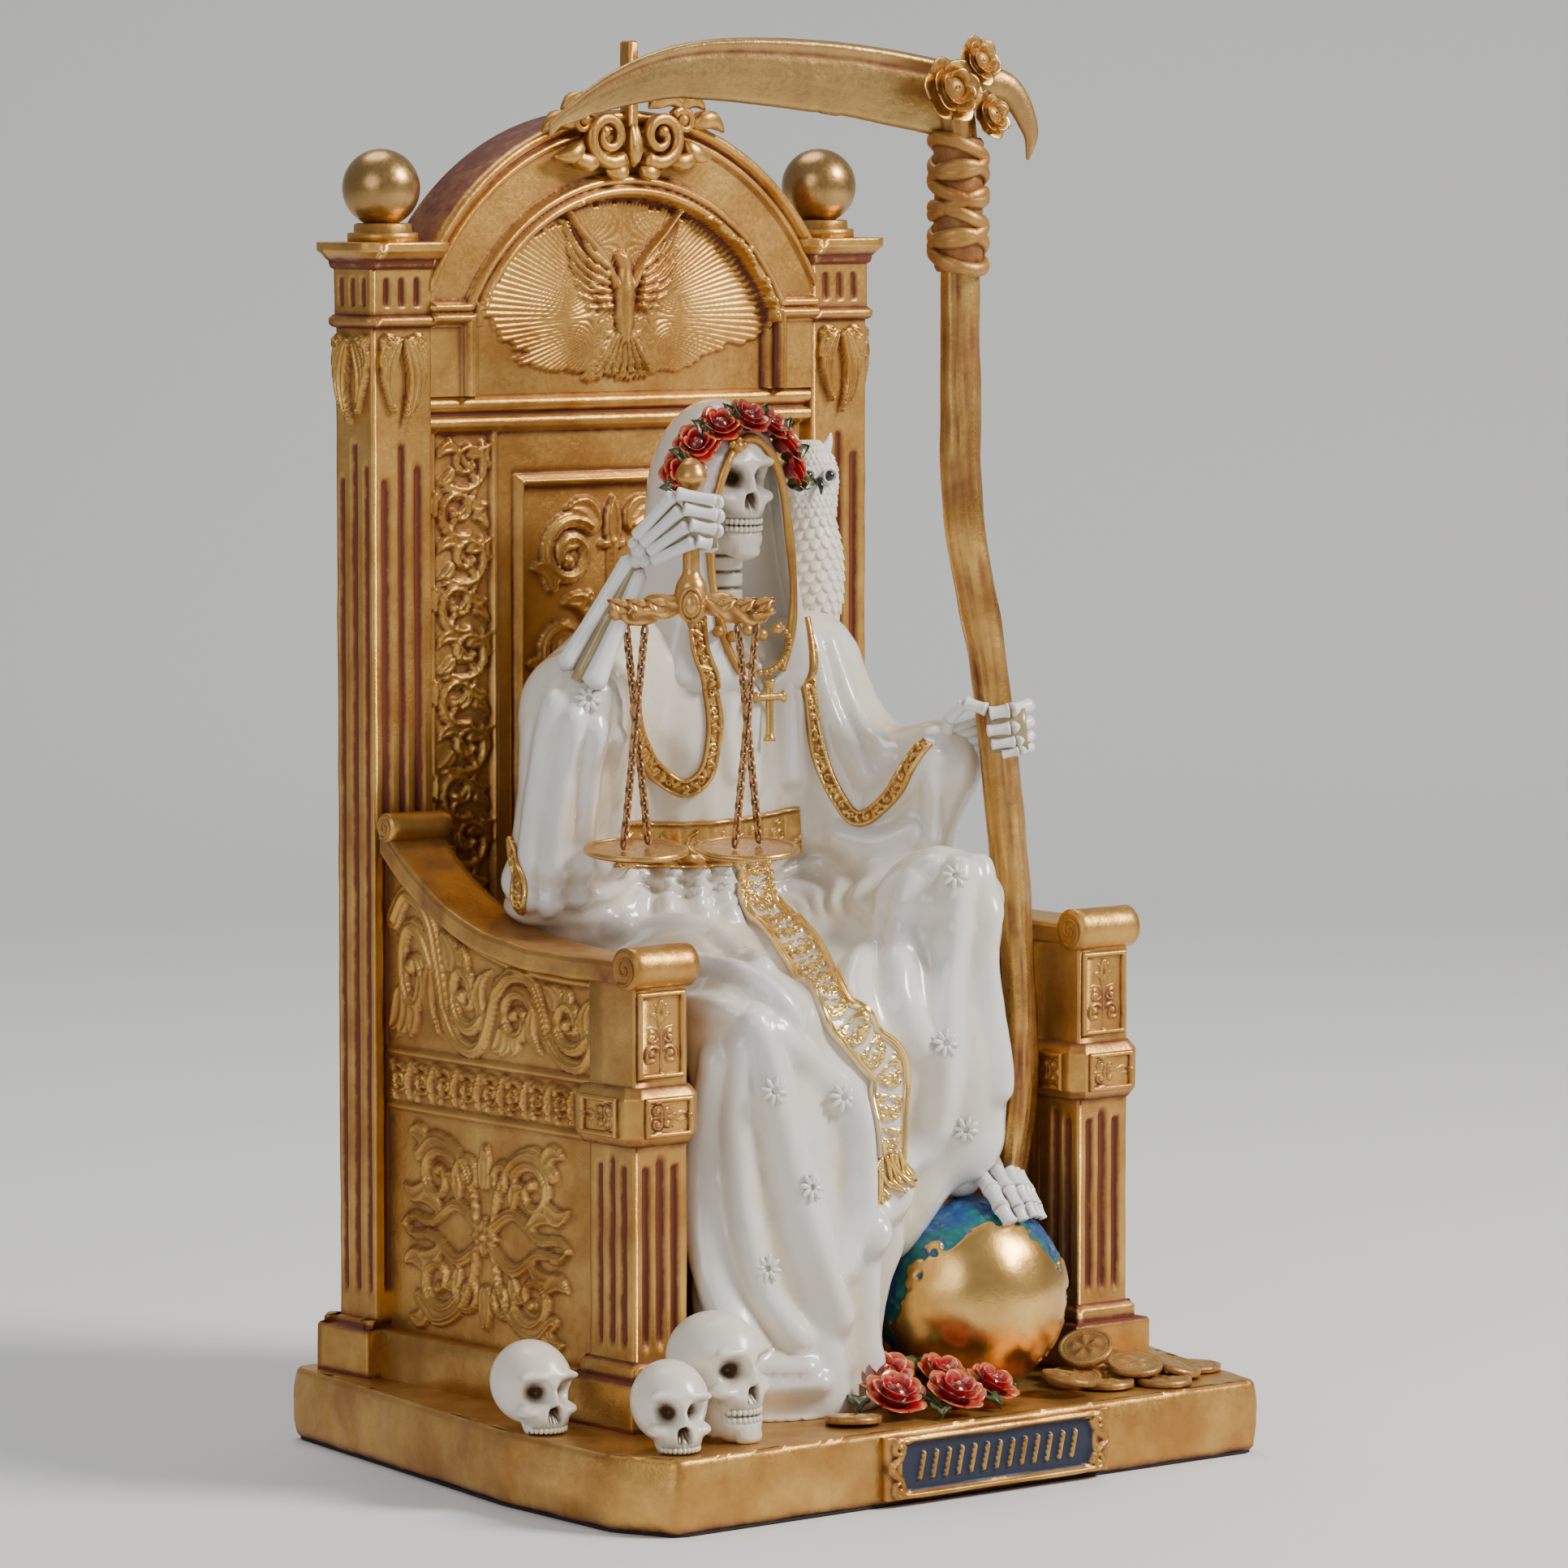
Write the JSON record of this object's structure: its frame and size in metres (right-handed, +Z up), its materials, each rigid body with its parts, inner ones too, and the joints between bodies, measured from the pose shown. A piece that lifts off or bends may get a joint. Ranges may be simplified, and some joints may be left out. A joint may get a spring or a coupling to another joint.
{
  "type": "santa muerte figurine",
  "caption": "Cast and painted resin figurine of a robed skeletal saint seated on a carved gilt throne, holding a scythe and a pair of scales.",
  "frame": {"origin": "on the underside of the felt, under the middle of the throne's back, at the front plane of its posts", "axes": "+Z up, the figure faces -Y and its left hand, with the scythe, is on +X"},
  "size_m": [0.1913, 0.1575, 0.319],
  "materials": {
    "felt": "thin black flocked felt",
    "gilt": "antique gold paint on resin with a red-brown wash in the recesses",
    "robe": "pearl white paint on resin, satin, with gold trims and a belt",
    "bone": "ivory paint on resin with a brown wash in sockets and between the teeth",
    "owl_white": "white paint on resin with a cream wash between the feathers",
    "globe_paint": "gold continents over a blue and teal sea, brushed over resin",
    "scales_gold": "bright gold paint on resin",
    "chain_metal": "copper-gold plated metal chain",
    "rose_red": "glossy red paint on resin with gold petal edges and dark green leaves",
    "coin_gold": "gold paint on resin with a red-brown wash"
  },
  "bodies": {
    "root": {"felt_pad": "felt", "base_and_throne": "gilt", "figure": "robe", "owl": "owl_white", "globe": "globe_paint", "scythe": "gilt", "scales_beam": "scales_gold", "pan_left": "scales_gold", "pan_right": "scales_gold", "chain_1": "chain_metal", "chain_2": "chain_metal", "chain_3": "chain_metal", "chain_4": "chain_metal", "skull_a": "bone", "skull_b": "bone", "skull_c": "bone", "skull_d": "bone", "rose_cluster": "rose_red", "coin_pile": "coin_gold", "coin_front": "coin_gold"}
  },
  "joints": []
}
